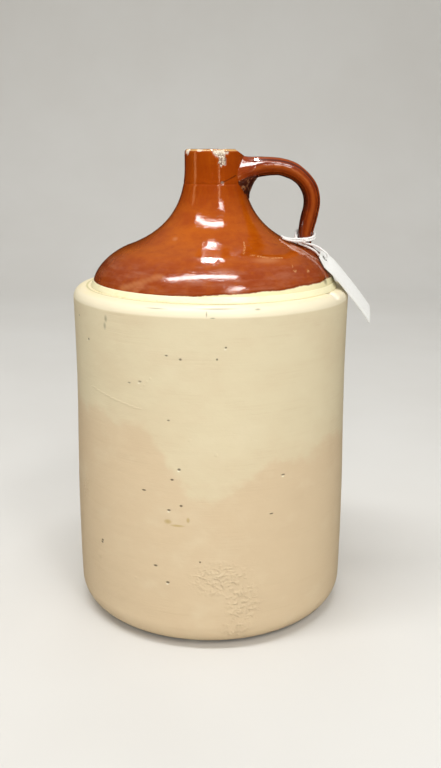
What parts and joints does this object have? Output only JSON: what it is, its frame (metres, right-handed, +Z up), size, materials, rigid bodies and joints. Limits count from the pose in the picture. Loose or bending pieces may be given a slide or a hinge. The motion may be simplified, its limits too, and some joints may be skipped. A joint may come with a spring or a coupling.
{
  "type": "stoneware jug",
  "caption": "Two-tone stoneware shoulder jug: straight cream body, brown domed top with a narrow mouth, ribbed strap handle, and a card tag on a cotton string.",
  "frame": {"origin": "centre of the foot's underside", "axes": "+Z up, +X towards the handle, -Y towards the side on which the tag hangs"},
  "size_m": [0.2662, 0.2452, 0.4075],
  "materials": {
    "cream_glaze": "satin cream glaze on stoneware, with pinholes and faint turning lines",
    "brown_glaze": "glossy brown slip glaze, lighter where it breaks over edges",
    "slip_fillet": "satin yellow-cream glaze pooled in the joint",
    "handle_glaze": "glossy brown slip glaze, darker in the grooves",
    "lute_clay": "dark brown glaze over hand-pressed clay",
    "cotton_string": "white twisted cotton",
    "tag_stock": "matt white card"
  },
  "bodies": {
    "jug": {"lower_body": "cream_glaze", "shoulder_dome": "brown_glaze", "shoulder_lute": "slip_fillet", "handle": "handle_glaze", "handle_upper_lute": "lute_clay", "handle_lower_lute": "lute_clay", "tag_string": "cotton_string"},
    "tag": {"tag_card": "tag_stock"}
  },
  "joints": [
    {"name": "tag_lift", "type": "hinge", "parent": "jug", "child": "tag", "pos_m": [0.0905, -0.015, 0.324], "axis": [0.0698, -0.9976, 0], "range_deg": [0, 90], "deforming": ["tag_string"]}
  ]
}
